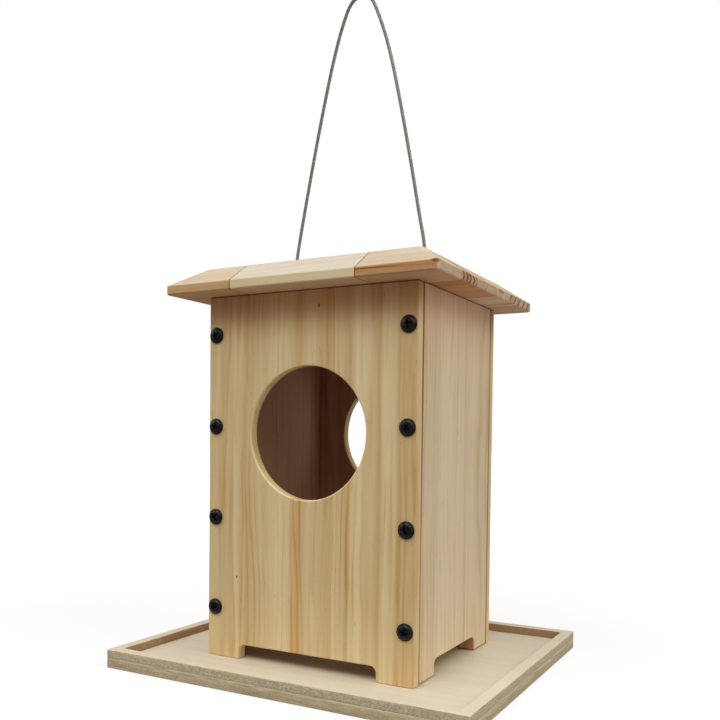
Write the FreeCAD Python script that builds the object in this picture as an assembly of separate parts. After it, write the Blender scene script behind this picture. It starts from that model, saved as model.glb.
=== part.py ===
# Hanging bird feeder: a wooden tower with two round holes stands on a rimmed tray, under a
# bevelled roof that slides up the steel cable that the feeder hangs from.
# Millimetres. +Z is up, the front faces -Y, and the origin is the middle of the tray's underside.
import FreeCAD, Part
import math
import os

# Tower
tower_width = 150.0
tower_depth = 127.0
tower_height = 235.0  # from the tray floor to the roof
face_thickness = 7.0  # front and back panels
side_thickness = 12.0
side_lift = 1.0  # gap under the side panels, so that the tower stands on its faces
hole_radius = 41.5
hole_height = 147.0  # hole centre above the tray floor
face_foot_width = 25.0
side_foot_width = 22.5
notch_height = 9.5
notch_radius = 4.0
panel_corner_radius = 1.0
panel_arris = 0.8

# Tray
tray_side_reach = 50.0  # how far the tray stands out past the tower
tray_front_reach = 41.0
tray_base_thickness = 6.5
rim_width = 7.5
rim_height = 5.5
tray_arris = 0.4

# Roof
roof_side_overhang = 20.5
roof_front_overhang = 20.0
roof_edge_height = 5.7
roof_bevel_run = 18.5
roof_bevel_rise = 12.3
roof_corner_radius = 3.0
roof_arris = 1.1
centre_board_width = 88.0
seam_chamfer = 0.35
batten_width = 12.0
batten_height = 10.0
batten_clearance = 1.5  # between a batten's outer faces and the tower's inside

# Cable, its blocks inside the tower, and its crimped stops
cable_diameter = 2.0
cable_setback = 13.0  # from a side panel's inner face to the cable
cable_clearance = 0.6  # around the cable in the roof and in the blocks
block_depth = 40.0
block_height = 24.0
block_margin = 11.0  # wood between the cable and the block's inner face
block_drop = 3.0  # below the tower's top
stop_radius = 2.5
stop_length = 9.0
cable_tail = 2.0  # cable showing under its stop

# The loop above the roof: each point is a share of the leg's distance from the centre, and a
# height above the roof. The short level run at the top lies over the hook.
loop_route = (
    (-1.0, 0.0),
    (-1.0, 11.0),
    (-0.93, 31.0),
    (-0.77, 71.0),
    (-0.58, 115.0),
    (-0.41, 150.0),
    (-0.264, 173.0),
    (-0.12, 187.5),
    (0.14, 187.5),
    (0.276, 173.0),
    (0.436, 150.0),
    (0.6, 115.0),
    (0.78, 71.0),
    (0.91, 36.0),
    (1.0, 15.0),
    (1.0, 0.0),
)
arc_share = 0.45  # of the shorter run beside a bend that its arc takes up

# Panel screws: low domed heads, four to a corner of each face
panel_screw_rows = 4
panel_screw_bottom = 32.5  # lowest screw above the tray floor
panel_screw_top = 25.0  # highest screw below the tower's top
panel_screw_length = 28.0
panel_screw_radius = 2.0
dome_radius = 5.25
dome_edge = 0.7
dome_rise = 1.8

# Countersunk screws, up through the tray and up through the battens
tray_screw_length = 30.0
tray_screw_radius = 1.75
tray_screw_head_radius = 3.6
batten_screw_length = 20.0
batten_screw_radius = 1.5
batten_screw_head_radius = 3.0
batten_screw_inset = 8.5  # from a batten's end to its outer screws
batten_screw_centre = 22.0  # the inner screws, from the middle
screw_sink = 0.2  # countersunk heads below the surface
screw_tip = 4.0
screw_fit = 0.05  # around a shank in its pilot hole
through_fit = 0.3  # around a shank in the piece it clamps
recess_width = 1.1
recess_share = 0.52  # cross recess over head width
recess_depth = 1.7
recess_turn = 37.0  # each screw stopped at its own angle

# Places that several pieces share
tray_floor = tray_base_thickness
tower_top = tray_floor + tower_height
roof_top = tower_top + roof_edge_height + roof_bevel_rise
half_width = tower_width / 2
half_depth = tower_depth / 2
inner_half_width = half_width - side_thickness
inner_half_depth = half_depth - face_thickness
side_centre = half_width - side_thickness / 2
cable_x = inner_half_width - cable_setback
cable_radius = cable_diameter / 2
cable_hole_radius = cable_radius + cable_clearance
block_top = tower_top - block_drop
block_bottom = block_top - block_height
roof_half_width = half_width + roof_side_overhang
roof_half_depth = half_depth + roof_front_overhang
tray_half_width = half_width + tray_side_reach
tray_half_depth = half_depth + tray_front_reach

UP = FreeCAD.Vector(0, 0, 1)
DOWN = FreeCAD.Vector(0, 0, -1)
EXTRA = 1.0  # how far a cutting tool runs past the face it cuts
TINY = 1e-6


def vec(x, y, z):
    return FreeCAD.Vector(x, y, z)


def block(low, high):
    """A box between two opposite corners."""
    size = vec(*high) - vec(*low)
    return Part.makeBox(size.x, size.y, size.z, vec(*low))


def eased_block(low, high, radius):
    """A box with all its edges rounded."""
    solid = block(low, high)
    return solid.makeFillet(radius, solid.Edges)


def drill(radius, start, direction, length):
    return Part.makeCylinder(radius, length, start, direction)


def corner_arc(before, corner, after, radius):
    """Start, middle and end of the arc of that radius that rounds a corner."""
    back = (before - corner).normalize()
    ahead = (after - corner).normalize()
    half_angle = back.getAngle(ahead) / 2
    reach = radius / math.tan(half_angle)
    inward = (back + ahead).normalize()
    middle = corner + inward * (radius / math.sin(half_angle) - radius)
    return corner + back * reach, middle, corner + ahead * reach


def rounded_wire(points, radii, closed):
    """Straight runs from point to point, joined by tangent arcs."""
    bends = []
    for i, (corner, radius) in enumerate(zip(points, radii)):
        if radius > 0:
            bends.append(corner_arc(points[i - 1], corner, points[(i + 1) % len(points)], radius))
        else:
            bends.append((corner, None, corner))
    following = bends[1:] + bends[:1] if closed else bends[1:]
    edges = []
    for (start, middle, end), (next_start, _, _) in zip(bends, following):
        if middle:
            edges.append(Part.Arc(start, middle, end).toShape())
        if end.distanceToPoint(next_start) > TINY:
            edges.append(Part.LineSegment(end, next_start).toShape())
    return Part.Wire(edges)


# ---- Tower ----


def notched_panel(half_span, bottom, half_notch, place, thickness):
    """A panel standing on two feet. place turns (across, up) into a point on one face, and
    thickness is the vector from that face to the other."""
    notch_top = bottom + notch_height
    corners = (
        (-half_span, bottom, panel_corner_radius),
        (-half_notch, bottom, panel_corner_radius),
        (-half_notch, notch_top, notch_radius),
        (half_notch, notch_top, notch_radius),
        (half_notch, bottom, panel_corner_radius),
        (half_span, bottom, panel_corner_radius),
        (half_span, tower_top, panel_corner_radius),
        (-half_span, tower_top, panel_corner_radius),
    )
    points = [place(across, up) for across, up, _ in corners]
    outline = rounded_wire(points, [radius for _, _, radius in corners], closed=True)
    return Part.Face(outline).extrude(thickness)


def ease_faces(panel, normal, width):
    """Round the edges of the two faces of a panel, which are width apart along normal."""
    middle = panel.BoundBox.Center.dot(normal)
    edges = [e for e in panel.Edges if abs(abs(e.CenterOfMass.dot(normal) - middle) - width / 2) < 0.01]
    return panel.makeFillet(panel_arris, edges)


def screw_heights():
    lowest = tray_floor + panel_screw_bottom
    pitch = (tower_top - panel_screw_top - lowest) / (panel_screw_rows - 1)
    return [lowest + pitch * row for row in range(panel_screw_rows)]


def face_panel(side):
    """The front panel (side -1) or the back panel (side 1), with its round hole."""
    outer = side * half_depth
    panel = notched_panel(
        half_width,
        tray_floor,
        half_width - face_foot_width,
        lambda across, up: vec(across, outer, up),
        vec(0, -side * face_thickness, 0),
    )
    inward = vec(0, -side, 0)
    start = outer + side * EXTRA
    depth = face_thickness + 2 * EXTRA
    panel = panel.cut(drill(hole_radius, vec(0, start, tray_floor + hole_height), inward, depth))
    panel = ease_faces(panel, vec(0, 1, 0), face_thickness)
    through = panel_screw_radius + through_fit
    for x in (-side_centre, side_centre):
        for z in screw_heights():
            panel = panel.cut(drill(through, vec(x, start, z), inward, depth))
    return panel


def side_panel(side):
    """The left (side -1) or right (side 1) panel, held between the front and back panels."""
    outer = side * half_width
    panel = notched_panel(
        inner_half_depth,
        tray_floor + side_lift,
        inner_half_depth - side_foot_width,
        lambda across, up: vec(outer, across, up),
        vec(-side * side_thickness, 0, 0),
    )
    panel = ease_faces(panel, vec(1, 0, 0), side_thickness)
    x = side * side_centre
    for end in (-1, 1):
        inward = vec(0, -end, 0)
        for z in screw_heights():
            pilot = drill(panel_screw_radius + screw_fit, vec(x, end * half_depth, z), inward, panel_screw_length)
            panel = panel.cut(pilot)
    for y in tray_screw_rows():
        pilot = drill(tray_screw_radius + screw_fit, vec(x, y, 0), UP, tray_screw_length + screw_sink)
        panel = panel.cut(pilot)
    return panel


def cable_block(side):
    """The wooden block inside a side panel that a leg of the cable hangs from."""
    near = side * inner_half_width
    far = side * (cable_x - block_margin)
    low = (min(near, far), -block_depth / 2, block_bottom)
    high = (max(near, far), block_depth / 2, block_top)
    start = vec(side * cable_x, 0, block_bottom - EXTRA)
    hole = drill(cable_hole_radius, start, UP, block_height + 2 * EXTRA)
    return eased_block(low, high, panel_arris).cut(hole)


# ---- Screws ----


def cross_recess(head_radius, top):
    """The cross that a driver fits, sunk into a head whose top is at that height."""
    reach = head_radius * recess_share
    taper = Part.makeCone(recess_width / 2, reach, recess_depth, vec(0, 0, top - recess_depth))
    rim = drill(reach, vec(0, 0, top), UP, EXTRA)
    arm = block(
        (-head_radius, -recess_width / 2, top - recess_depth),
        (head_radius, recess_width / 2, top + EXTRA),
    )
    other_arm = arm.copy()
    other_arm.rotate(vec(0, 0, 0), UP, 90)
    return taper.fuse(rim).common(arm.fuse(other_arm))


def revolved(edges):
    return Part.Face(Part.Wire(edges)).revolve(vec(0, 0, 0), UP, 360)


def lines(points):
    return [Part.LineSegment(vec(*a), vec(*b)).toShape() for a, b in zip(points, points[1:])]


def domed_screw():
    """A panel screw along Z, its head's flat underside at zero and its tip down."""
    sphere = (dome_radius**2 + dome_rise**2) / (2 * dome_rise)
    half_angle = math.asin(dome_radius / sphere) / 2
    top = dome_edge + dome_rise
    crown = vec(0, 0, top)
    shoulder = vec(sphere * math.sin(half_angle), 0, top - sphere * (1 - math.cos(half_angle)))
    outline = (
        (0, 0, top),
        (0, 0, -panel_screw_length),
        (panel_screw_radius, 0, screw_tip - panel_screw_length),
        (panel_screw_radius, 0, 0),
        (dome_radius, 0, 0),
        (dome_radius, 0, dome_edge),
    )
    dome = Part.Arc(vec(*outline[-1]), shoulder, crown).toShape()
    return revolved(lines(outline) + [dome]).cut(cross_recess(dome_radius, top - dome_edge / 2))


def countersunk_screw(radius, head_radius, length):
    """A flat-headed screw along Z, the top of its head at zero and its tip down."""
    outline = (
        (0, 0, 0),
        (0, 0, -length),
        (radius, 0, screw_tip - length),
        (radius, 0, radius - head_radius),
        (head_radius, 0, 0),
        (0, 0, 0),
    )
    return revolved(lines(outline)).cut(cross_recess(head_radius, 0))


def countersink(radius, head_radius, start, direction, length):
    """The clearance hole and cone for such a screw, from the surface that it is driven into."""
    hole = drill(radius + through_fit, start, direction, length)
    wide = head_radius + screw_sink + through_fit
    return hole.fuse(Part.makeCone(wide, 0, wide, start, direction))


def set_screw(screw, place, outward, turn):
    """A copy of a screw with its head at place, pointing outward, and its recess turned."""
    copy = screw.copy()
    facing = FreeCAD.Rotation(UP, outward).multiply(FreeCAD.Rotation(UP, turn))
    copy.Placement = FreeCAD.Placement(place, facing)
    return copy


def panel_screws(face, side):
    """The column of screws on one face (-1 front, 1 back) over one side panel."""
    screw = domed_screw()
    outward = vec(0, face, 0)
    column = []
    for row, z in enumerate(screw_heights()):
        place = vec(side * side_centre, face * half_depth, z)
        turn = recess_turn * (row + 2 * side + 5 * face)
        column.append(set_screw(screw, place, outward, turn))
    return Part.makeCompound(column)


def tray_screw_rows():
    middle_of_foot = inner_half_depth - side_foot_width / 2
    return (-middle_of_foot, middle_of_foot)


def tray_screws():
    screw = countersunk_screw(tray_screw_radius, tray_screw_head_radius, tray_screw_length)
    placed = []
    for x in (-side_centre, side_centre):
        for y in tray_screw_rows():
            turn = recess_turn * len(placed)
            placed.append(set_screw(screw, vec(x, y, screw_sink), DOWN, turn))
    return Part.makeCompound(placed)


# ---- Tray ----


def tray_base():
    base = eased_block(
        (-tray_half_width, -tray_half_depth, 0),
        (tray_half_width, tray_half_depth, tray_floor),
        tray_arris,
    )
    for x in (-side_centre, side_centre):
        for y in tray_screw_rows():
            hole = countersink(tray_screw_radius, tray_screw_head_radius, vec(x, y, 0), UP, tray_floor + EXTRA)
            base = base.cut(hole)
    return base


def tray_rim(low_x, high_x, low_y, high_y):
    return eased_block((low_x, low_y, tray_floor), (high_x, high_y, tray_floor + rim_height), tray_arris)


# ---- Roof ----


def batten_faces():
    """A batten's outer and inner distance from the middle, and half its length."""
    outer = inner_half_depth - batten_clearance
    return outer, outer - batten_width, inner_half_width - batten_clearance


def batten_screw_places(side):
    outer, inner, half_length = batten_faces()
    y = side * (outer + inner) / 2
    end = half_length - batten_screw_inset
    bottom = tower_top - batten_height
    return [vec(x, y, bottom) for x in (-end, -batten_screw_centre, batten_screw_centre, end)]


def rounded_rectangle(half_x, half_y, z, radius):
    corners = [vec(-half_x, -half_y, z), vec(half_x, -half_y, z), vec(half_x, half_y, z), vec(-half_x, half_y, z)]
    return rounded_wire(corners, [radius] * 4, closed=True)


def roof_blank():
    """The roof before it is divided: an upright edge, a wide bevel on all sides and a flat top."""
    shoulder = tower_top + roof_edge_height
    lower = rounded_rectangle(roof_half_width, roof_half_depth, tower_top, roof_corner_radius)
    edge = Part.Face(lower).extrude(vec(0, 0, roof_edge_height))
    bevel = Part.makeLoft(
        [
            rounded_rectangle(roof_half_width, roof_half_depth, shoulder, roof_corner_radius),
            rounded_rectangle(
                roof_half_width - roof_bevel_run, roof_half_depth - roof_bevel_run, roof_top, roof_corner_radius
            ),
        ],
        True,
        True,
    )
    blank = edge.fuse(bevel).removeSplitter()
    levels = (tower_top, shoulder, roof_top)
    edges = [e for e in blank.Edges if any(abs(e.BoundBox.ZMin - z) + abs(e.BoundBox.ZMax - z) < 0.01 for z in levels)]
    return blank.makeFillet(roof_arris, edges)


def roof_board(blank, left, right):
    """The part of the blank between two planes, eased where it meets the next board."""
    slab = block((left, -2 * roof_half_depth, tower_top - EXTRA), (right, 2 * roof_half_depth, roof_top + EXTRA))
    board = blank.common(slab)
    seams = []
    for face in board.Faces:
        middle = face.BoundBox.Center.x
        flat = face.BoundBox.XLength < TINY
        if flat and any(abs(middle - x) < TINY for x in (left, right)):
            seams.extend(face.Edges)
    board = board.makeChamfer(seam_chamfer, seams)
    for x in (-cable_x, cable_x):
        start = vec(x, 0, tower_top - EXTRA)
        board = board.cut(drill(cable_hole_radius, start, UP, roof_top - tower_top + 2 * EXTRA))
    for side in (-1, 1):
        for place in batten_screw_places(side):
            pilot = drill(batten_screw_radius + screw_fit, place, UP, batten_screw_length + screw_sink)
            board = board.cut(pilot)
    return board


def roof_batten(side):
    outer, inner, half_length = batten_faces()
    near, far = sorted((side * inner, side * outer))
    bottom = tower_top - batten_height
    batten = eased_block((-half_length, near, bottom), (half_length, far, tower_top), panel_arris)
    for place in batten_screw_places(side):
        hole = countersink(batten_screw_radius, batten_screw_head_radius, place, UP, batten_height + EXTRA)
        batten = batten.cut(hole)
    return batten


def batten_screws(side):
    screw = countersunk_screw(batten_screw_radius, batten_screw_head_radius, batten_screw_length)
    places = batten_screw_places(side)
    sunk = vec(0, 0, screw_sink)
    return Part.makeCompound([set_screw(screw, p + sunk, DOWN, recess_turn * i) for i, p in enumerate(places)])


# ---- Cable ----


def bend_radii(points):
    """The largest arc that each bend's two runs leave room for, and none at the ends."""
    radii = [0.0]
    for before, corner, after in zip(points, points[1:], points[2:]):
        turn = (corner - before).getAngle(after - corner)
        shorter = min(before.distanceToPoint(corner), corner.distanceToPoint(after))
        radii.append(arc_share * shorter / math.tan(turn / 2))
    return radii + [0.0]


def cable_loop():
    """The cable above the roof, swept along its route and capped where it enters the roof."""
    points = [vec(share * cable_x, 0, roof_top + height) for share, height in loop_route]
    radii = bend_radii(points)
    path = rounded_wire(points, radii, closed=False)
    circle = Part.makeCircle(cable_radius, points[0], points[1] - points[0])
    loop = path.makePipeShell([Part.Wire(circle)], True, False)
    expected = math.pi * cable_radius**2 * path.Length
    print("cable loop radii", [round(r, 1) for r in radii[1:-1]])
    print("cable loop length", round(path.Length, 1), "volume over section x length", round(loop.Volume / expected, 4))
    return loop


def cable_leg(side):
    """The straight end of the cable, from its tail up through the stop, the block and the roof."""
    bottom = block_bottom - stop_length - cable_tail
    return drill(cable_radius, vec(side * cable_x, 0, bottom), UP, roof_top - bottom)


def cable_stop(side):
    """The sleeve crimped under a block."""
    start = vec(side * cable_x, 0, block_bottom - stop_length)
    sleeve = drill(stop_radius, start, UP, stop_length)
    sleeve = sleeve.makeFillet(stop_radius / 4, [e for e in sleeve.Edges if len(e.Vertexes) == 1])
    return sleeve.cut(drill(cable_radius + screw_fit, start - UP, UP, stop_length + 2 * EXTRA))


# ---- The feeder ----

nodes = {
    "front_panel": face_panel(-1),
    "back_panel": face_panel(1),
    "tray_base": tray_base(),
    "tray_screws": tray_screws(),
    "cable_loop": cable_loop(),
}

for name, side in (("left", -1), ("right", 1)):
    nodes["side_panel_" + name] = side_panel(side)
    nodes["cable_block_" + name] = cable_block(side)
    nodes["cable_leg_" + name] = cable_leg(side)
    nodes["cable_stop_" + name] = cable_stop(side)
    nodes["screws_front_" + name] = panel_screws(-1, side)
    nodes["screws_back_" + name] = panel_screws(1, side)

inner_x = tray_half_width - rim_width
inner_y = tray_half_depth - rim_width
nodes["tray_rim_front"] = tray_rim(-tray_half_width, tray_half_width, -tray_half_depth, -inner_y)
nodes["tray_rim_back"] = tray_rim(-tray_half_width, tray_half_width, inner_y, tray_half_depth)
nodes["tray_rim_left"] = tray_rim(-tray_half_width, -inner_x, -inner_y, inner_y)
nodes["tray_rim_right"] = tray_rim(inner_x, tray_half_width, -inner_y, inner_y)

blank = roof_blank()
seam = centre_board_width / 2
nodes["roof_board_left"] = roof_board(blank, -2 * roof_half_width, -seam)
nodes["roof_board_centre"] = roof_board(blank, -seam, seam)
nodes["roof_board_right"] = roof_board(blank, seam, 2 * roof_half_width)
for name, side in (("front", -1), ("back", 1)):
    nodes["roof_batten_" + name] = roof_batten(side)
    nodes["batten_screws_" + name] = batten_screws(side)

os.makedirs("parts", exist_ok=True)
for name, shape in nodes.items():
    shape.exportStep(os.path.join("parts", name + ".step"))
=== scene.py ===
import math
from collections import namedtuple

import bmesh
import bpy
import numpy as np
from mathutils import Matrix, Vector


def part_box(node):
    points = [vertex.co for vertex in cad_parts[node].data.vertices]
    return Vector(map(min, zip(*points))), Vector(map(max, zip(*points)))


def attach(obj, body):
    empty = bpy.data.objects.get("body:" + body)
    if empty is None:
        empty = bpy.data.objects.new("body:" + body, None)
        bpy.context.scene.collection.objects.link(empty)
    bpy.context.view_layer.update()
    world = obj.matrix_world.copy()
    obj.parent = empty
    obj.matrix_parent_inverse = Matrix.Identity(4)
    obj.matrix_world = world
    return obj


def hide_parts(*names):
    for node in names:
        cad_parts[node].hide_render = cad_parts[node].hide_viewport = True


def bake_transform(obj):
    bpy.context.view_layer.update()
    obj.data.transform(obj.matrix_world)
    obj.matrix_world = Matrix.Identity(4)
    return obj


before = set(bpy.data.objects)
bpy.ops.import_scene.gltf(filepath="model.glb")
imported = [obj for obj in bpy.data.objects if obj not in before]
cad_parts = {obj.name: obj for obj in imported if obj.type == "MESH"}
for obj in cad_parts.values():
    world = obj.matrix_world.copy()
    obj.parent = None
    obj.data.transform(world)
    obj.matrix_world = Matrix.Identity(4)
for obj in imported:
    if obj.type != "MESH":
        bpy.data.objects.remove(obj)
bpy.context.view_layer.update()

bl_info = {
    "name": "Hanging bird feeder",
    "version": (1, 0, 0),
    "blender": (4, 5, 0),
    "location": "3D View > Sidebar > Feeder",
    "description": "Cable, screws, wood finishes and studio for a wooden bird feeder",
    "category": "Add Mesh",
}

MM = 0.001
X, Y, Z = 0, 1, 2

# The cable's route above the roof, (x, z) in metres at y = 0, from the left hole to the right one.
LOOP_ROUTE = (
    (-0.0500, 0.2595),
    (-0.0500, 0.2705),
    (-0.0465, 0.2905),
    (-0.0385, 0.3305),
    (-0.0290, 0.3745),
    (-0.0205, 0.4095),
    (-0.0132, 0.4325),
    (-0.0060, 0.4470),
    (0.0070, 0.4470),
    (0.0138, 0.4325),
    (0.0218, 0.4095),
    (0.0300, 0.3745),
    (0.0390, 0.3305),
    (0.0455, 0.2955),
    (0.0500, 0.2745),
    (0.0500, 0.2595),
)

STRAND_SHARE = 0.195  # a strand's radius against the cable's nominal diameter
CORE_SHARE = 0.98  # the middle strand's radius against the others'
STRAND_WIRES = 7.0  # round a strand
WIRE_TURNS = 3.0  # of those wires in one lay of the strands
STRAND_SIDES = 8
STRAND_STEP = 0.0006


# ---------------------------------------------------------------- sizes and colours

def colour(name, description, value):
    """A colour property whose value is given as displayed red, green and blue out of 255."""
    linear = tuple(to_linear(v) for v in value) + (1.0,)
    return bpy.props.FloatVectorProperty(
        name=name, description=description, default=linear, size=4, min=0.0, max=1.0,
        subtype="COLOR",
    )


def to_linear(byte):
    share = byte / 255
    return share / 12.92 if share <= 0.04045 else ((share + 0.055) / 1.055) ** 2.4


def length(name, description, metres):
    return bpy.props.FloatProperty(
        name=name, description=description, default=metres, min=0.0, unit="LENGTH",
        subtype="DISTANCE", precision=5,
    )


def angle(name, description, degrees):
    return bpy.props.FloatProperty(
        name=name, description=description, default=math.radians(degrees), subtype="ANGLE",
    )


class FeederSizes(bpy.types.PropertyGroup):
    """Sizes of the pieces made here."""

    cable_diameter: length("Cable", "Diameter of the steel cable", 0.002)
    strand_lay: length("Strand lay", "Length of cable in which a strand goes round once", 0.018)
    head_radius: length("Head radius", "Radius of a panel screw's domed head", 0.00525)
    head_height: length("Head height", "Height of a panel screw's domed head", 0.0025)
    recess_width: length("Recess width", "Width of a cross recess's arms", 0.0015)
    recess_depth: length("Recess depth", "Depth of a cross recess", 0.0021)


class FeederColours(bpy.types.PropertyGroup):
    """Colours of the woods and metals."""

    face_pale: colour("Face, pale", "Early wood of the front and back panels", (238, 221, 175))
    face_dark: colour("Face, dark", "Late wood of the front and back panels", (210, 168, 102))
    side_pale: colour("Side, pale", "Early wood of the side panels", (240, 226, 194))
    side_dark: colour("Side, dark", "Late wood of the side panels", (214, 184, 140))
    tan_pale: colour("Left board, pale", "Early wood of the roof's left board", (226, 214, 190))
    tan_dark: colour("Left board, dark", "Late wood of the roof's left board", (200, 168, 124))
    cream_pale: colour("Centre board, pale", "Early wood of the roof's centre board", (231, 226, 212))
    cream_dark: colour("Centre board, dark", "Late wood of the centre board", (207, 190, 160))
    orange_pale: colour("Right board, pale", "Early wood of the roof's right board", (226, 216, 194))
    orange_dark: colour("Right board, dark", "Late wood of the right board", (192, 152, 110))
    ply_face: colour("Plywood face", "Face veneer of the tray", (234, 226, 204))
    ply_edge: colour("Plywood edge", "Cut edges of the tray's plywood", (210, 197, 168))
    black: colour("Black screw", "Blackened heads of the panel screws", (13, 13, 13))
    plated: colour("Plated screw", "Zinc-plated countersunk screws", (178, 178, 172))
    steel: colour("Cable steel", "Bare steel of the cable's strands", (158, 159, 153))
    aluminium: colour("Stops", "Crimped aluminium stops", (196, 198, 200))


class FeederStudio(bpy.types.PropertyGroup):
    """Camera, lights and floor."""

    camera_place: bpy.props.FloatVectorProperty(
        name="Camera", description="Place of the camera", default=(0.2688, -0.4866, 0.1520),
        unit="LENGTH", subtype="TRANSLATION", precision=4,
    )
    camera_yaw: angle("Yaw", "Turn of the camera about the vertical", 28.604)
    camera_pitch: angle("Pitch", "Tilt of the camera above the level", -1.862)
    camera_roll: angle("Roll", "Turn of the camera about its own axis", 0.650)
    lens: bpy.props.FloatProperty(
        name="Lens", description="Focal length in millimetres", default=40.698,
    )
    rise: bpy.props.FloatProperty(
        name="Rise", description="Share of the picture's width that the lens is raised",
        default=0.1426,
    )
    light: bpy.props.FloatProperty(
        name="Light", description="Brightness of all the softboxes together", default=1.10,
        min=0.0,
    )
    surround: bpy.props.FloatProperty(
        name="Surround", description="Strength of the white room's own light", default=0.25,
    )
    surround_colour: colour("Surround colour", "Colour of the room's own light", (255, 234, 219))
    floor_pale: colour("Floor", "Colour of the studio floor", (137, 137, 137))


# ---------------------------------------------------------------- material tools

class Wire:
    """A shader socket. Arithmetic on it adds Math nodes to its material."""

    def __init__(self, finish, socket):
        self.finish = finish
        self.socket = socket

    def math(self, operation, *others, clamp=False):
        settings = {"operation": operation, "use_clamp": clamp}
        return self.finish.node("ShaderNodeMath", settings, (self, *others))

    def __add__(self, other):
        return self.math("ADD", other)

    __radd__ = __add__

    def __mul__(self, other):
        return self.math("MULTIPLY", other)

    __rmul__ = __mul__

    def __sub__(self, other):
        return self.math("SUBTRACT", other)

    def __rsub__(self, other):
        return self.finish.node("ShaderNodeMath", {"operation": "SUBTRACT"}, (other, self))

    def __truediv__(self, other):
        return self.math("DIVIDE", other)

    def __abs__(self):
        return self.math("ABSOLUTE")


class Finish:
    """One procedural material and the nodes that make it."""

    def __init__(self, name):
        self.material = bpy.data.materials.new(name)
        self.material.use_nodes = True
        self.tree = self.material.node_tree
        self.shader = self.tree.nodes["Principled BSDF"]

    def node(self, kind, settings=None, inputs=(), output=0):
        """Adds a node, sets it up, fills its sockets and returns one of its outputs."""
        made = self.tree.nodes.new(kind)
        for key, value in (settings or {}).items():
            if key == "stops":
                fill_ramp(made.color_ramp, value)
            elif key == "blend":
                made.color_ramp.interpolation = value
            else:
                setattr(made, key, value)
        named = inputs.items() if isinstance(inputs, dict) else enumerate(inputs)
        for key, value in named:
            self.feed(made.inputs[key], value)
        return Wire(self, made.outputs[output])

    def feed(self, socket, value):
        if isinstance(value, Wire):
            self.tree.links.new(value.socket, socket)
        else:
            socket.default_value = value

    def set(self, **values):
        """Sets sockets of the material's own shader, by name with _ for a space."""
        for key, value in values.items():
            self.feed(self.shader.inputs[key.replace("_", " ")], value)

    def place(self):
        """Object coordinates in millimetres."""
        raw = self.node("ShaderNodeTexCoord", output="Object")
        return self.node(
            "ShaderNodeVectorMath", {"operation": "SCALE"}, {"Vector": raw, "Scale": 1000.0}
        )

    def split(self, vector):
        parts = self.node("ShaderNodeSeparateXYZ", inputs=(vector,))
        node = parts.socket.node
        return [Wire(self, node.outputs[i]) for i in range(3)]

    def join(self, x, y, z):
        return self.node("ShaderNodeCombineXYZ", inputs=(x, y, z))

    def reach(self, x, y, z):
        """The length of the vector with these parts."""
        return self.node(
            "ShaderNodeVectorMath", {"operation": "LENGTH"}, (self.join(x, y, z),),
            output="Value",
        )

    def facing(self, axis):
        """How far the surface faces along an object axis, from -1 to 1."""
        return self.split(self.node("ShaderNodeTexCoord", output="Normal"))[axis]

    def noise(self, vector, scale, detail=2.0, roughness=0.5, lift=0.0):
        """Noise from 0 to 1; scale is in cells a millimetre."""
        return self.node(
            "ShaderNodeTexNoise", {"noise_dimensions": "4D"},
            {"Vector": vector, "W": lift, "Scale": scale, "Detail": detail,
             "Roughness": roughness},
        )

    def ramp(self, value, stops, blend="LINEAR"):
        return self.node("ShaderNodeValToRGB", {"stops": stops, "blend": blend}, (value,))

    def band(self, value, low, high):
        """0 below low, 1 above high, and a smooth rise between them."""
        return self.node(
            "ShaderNodeMapRange", {"interpolation_type": "SMOOTHSTEP"},
            {"Value": value, "From Min": low, "From Max": high},
        )

    def mix(self, share, first, second, blend="MIX"):
        """A mix of two colours."""
        return self.node(
            "ShaderNodeMix", {"data_type": "RGBA", "blend_type": blend},
            {0: share, 6: first, 7: second}, output=2,
        )

    def bump(self, height, strength, distance):
        return self.node(
            "ShaderNodeBump", inputs={"Strength": strength, "Distance": distance,
                                      "Height": height},
        )


def fill_ramp(ramp, stops):
    elements = ramp.elements
    while len(elements) > 1:
        elements.remove(elements[-1])
    for index, (position, value) in enumerate(stops):
        element = elements[0] if index == 0 else elements.new(position)
        element.position = position
        element.color = grey(value) if isinstance(value, (int, float)) else value


def grey(value):
    return (value, value, value, 1.0)


def shade(rgb, factor):
    """A colour made lighter or darker."""
    return tuple(min(1.0, channel * factor) for channel in rgb[:3]) + (1.0,)


# ---------------------------------------------------------------- woods

# What a glued-up board shows across its width, in millimetres. staves are (edge, shift): where
# each begins and where in the log it was cut. figure is (place, tone, warmth): how light and how
# orange the wood is there. knots are (across, along, radius).
Board = namedtuple("Board", "span staves figure knots")

# How dark a growth ring is from its start to its end, late wood last.
RING = (
    (0.0, 0.35), (0.10, 0.05), (0.35, 0.0), (0.62, 0.28), (0.84, 0.92), (0.92, 1.0), (1.0, 0.35),
)

# Plywood's layers from foot to top: half the tone, how much end grain shows, and yellowness.
PLIES = (
    (0.0, (0.40, 0.2, 0.0, 1.0)), (0.06, (0.47, 0.2, 0.6, 1.0)),
    (0.20, (0.45, 0.7, 0.6, 1.0)), (0.33, (0.52, 0.3, 0.7, 1.0)),
    (0.47, (0.56, 0.0, 0.8, 1.0)), (0.53, (0.58, 0.0, 0.5, 1.0)),
    (0.56, (0.44, 0.5, 0.2, 1.0)), (0.64, (0.48, 1.0, 0.0, 1.0)),
    (0.86, (0.49, 1.0, 0.1, 1.0)), (0.94, (0.57, 0.2, 0.3, 1.0)),
)
PLIES_HEIGHT = 12.0

# What a wood's own colour is multiplied by.
WARM = (1.02, 0.82, 0.52, 1.0)
KNOT = (0.36, 0.22, 0.13, 1.0)
JOINT_AND_GAP_SHADOW = (0.34, 0.20, 0.13, 1.0)
YELLOW = (1.0, 0.93, 0.76, 1.0)
# The last two are painted shade: on the tray under the tower and on the rims' inner walls.
PLY_PAINTED_SHADE = (0.72, 0.58, 0.47, 1.0)
PLY_INNER_SHADE = (0.60, 0.46, 0.36, 1.0)


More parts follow.
